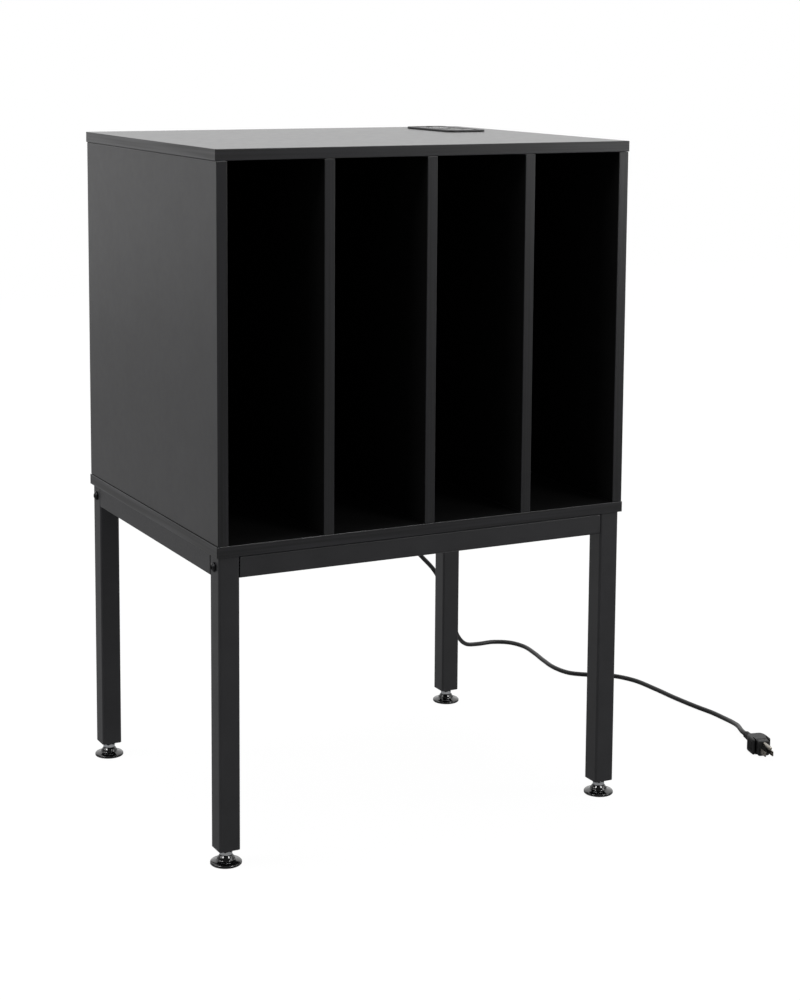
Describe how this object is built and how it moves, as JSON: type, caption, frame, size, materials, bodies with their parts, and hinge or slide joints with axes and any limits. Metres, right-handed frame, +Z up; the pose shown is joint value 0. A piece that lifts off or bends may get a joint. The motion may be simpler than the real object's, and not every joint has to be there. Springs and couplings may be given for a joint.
{
  "type": "record player stand",
  "caption": "Record player stand: open board cabinet with upright record slots and a let-in power module, on a square-tube steel frame with levelling feet.",
  "frame": {"origin": "on the floor, under the middle of the stand", "axes": "+Z up, +X to the right as seen from the open front, -Y towards the front"},
  "size_m": [0.7744, 0.5905, 0.7651],
  "materials": {
    "board": "black melamine-faced particle board, fine satin texture",
    "back_board": "black faced thin fibreboard, matt",
    "frame_steel": "black powder coat, fine satin",
    "bolt_steel": "black oxide, semi-gloss",
    "zinc_steel": "bright zinc plate",
    "pad_plastic": "glossy black moulded nylon",
    "housing_plastic": "black moulded ABS, satin",
    "face_plastic": "black moulded polycarbonate, satin gloss",
    "spring_steel": "plain spring steel",
    "brass": "stamped brass",
    "circuit_board": "green solder mask",
    "cord_vinyl": "black vinyl jacket, satin",
    "plug_vinyl": "black moulded vinyl, matt",
    "plug_metal": "nickel-plated brass"
  },
  "bodies": {
    "stand": {"top_panel": "board", "bottom_panel": "board", "left_side_panel": "board", "right_side_panel": "board", "divider_1": "board", "divider_2": "board", "divider_3": "board", "back_panel": "back_board", "leg_front_left": "frame_steel", "leg_front_right": "frame_steel", "leg_rear_left": "frame_steel", "leg_rear_right": "frame_steel", "front_rail": "frame_steel", "rear_rail": "frame_steel", "left_rail": "frame_steel", "right_rail": "frame_steel", "rail_end_plate_front_left": "zinc_steel", "rail_end_plate_front_right": "zinc_steel", "rail_end_plate_rear_left": "zinc_steel", "rail_end_plate_rear_right": "zinc_steel", "leg_bolt_front_left": "bolt_steel", "leg_bolt_front_right": "bolt_steel", "leg_bolt_rear_left": "bolt_steel", "leg_bolt_rear_right": "bolt_steel", "frame_screw_front_left": "zinc_steel", "frame_screw_front_right": "zinc_steel", "frame_screw_rear_left": "zinc_steel", "frame_screw_rear_right": "zinc_steel", "leg_plug_front_left": "housing_plastic", "leg_plug_front_right": "housing_plastic", "leg_plug_rear_left": "housing_plastic", "leg_plug_rear_right": "housing_plastic", "module_housing": "housing_plastic", "module_face_plate": "face_plastic", "charger_insert": "housing_plastic", "charger_board": "circuit_board", "button_switch": "housing_plastic", "contact_strip_line": "brass", "contact_strip_neutral": "brass", "contact_strip_ground": "brass", "module_cover": "housing_plastic", "module_clip_left": "spring_steel", "module_clip_right": "spring_steel", "inner_lead": "cord_vinyl", "cord_gland": "cord_vinyl", "power_cord": "cord_vinyl", "plug_body": "plug_vinyl", "plug_blade_line": "plug_metal", "plug_blade_neutral": "plug_metal", "plug_ground_pin": "plug_metal"},
    "stud_front_left": {"foot_stud_front_left": "zinc_steel"},
    "stud_front_right": {"foot_stud_front_right": "zinc_steel"},
    "stud_rear_left": {"foot_stud_rear_left": "zinc_steel"},
    "stud_rear_right": {"foot_stud_rear_right": "zinc_steel"},
    "pad_front_left": {"foot_pad_front_left": "pad_plastic"},
    "pad_front_right": {"foot_pad_front_right": "pad_plastic"},
    "pad_rear_left": {"foot_pad_rear_left": "pad_plastic"},
    "pad_rear_right": {"foot_pad_rear_right": "pad_plastic"},
    "button": {"power_button": "face_plastic"}
  },
  "joints": [
    {"name": "foot_height_front_left", "type": "slide", "parent": "stand", "child": "stud_front_left", "axis": [0, 0, -1], "range_m": [-0.002, 0.012]},
    {"name": "foot_height_front_right", "type": "slide", "parent": "stand", "child": "stud_front_right", "axis": [0, 0, -1], "range_m": [-0.002, 0.012]},
    {"name": "foot_height_rear_left", "type": "slide", "parent": "stand", "child": "stud_rear_left", "axis": [0, 0, -1], "range_m": [-0.002, 0.012]},
    {"name": "foot_height_rear_right", "type": "slide", "parent": "stand", "child": "stud_rear_right", "axis": [0, 0, -1], "range_m": [-0.002, 0.012]},
    {"name": "pad_turn_front_left", "type": "hinge", "parent": "stud_front_left", "child": "pad_front_left", "pos_m": [-0.235, -0.187, 0], "axis": [0, 0, 1], "continuous": true},
    {"name": "pad_turn_front_right", "type": "hinge", "parent": "stud_front_right", "child": "pad_front_right", "pos_m": [0.235, -0.187, 0], "axis": [0, 0, 1], "continuous": true},
    {"name": "pad_turn_rear_left", "type": "hinge", "parent": "stud_rear_left", "child": "pad_rear_left", "pos_m": [-0.235, 0.187, 0], "axis": [0, 0, 1], "continuous": true},
    {"name": "pad_turn_rear_right", "type": "hinge", "parent": "stud_rear_right", "child": "pad_rear_right", "pos_m": [0.235, 0.187, 0], "axis": [0, 0, 1], "continuous": true},
    {"name": "button_press", "type": "slide", "parent": "stand", "child": "button", "axis": [0, 0, -1], "range_m": [0, 0.0015], "stiffness_N_per_m": 300, "springref_m": -0.002}
  ]
}
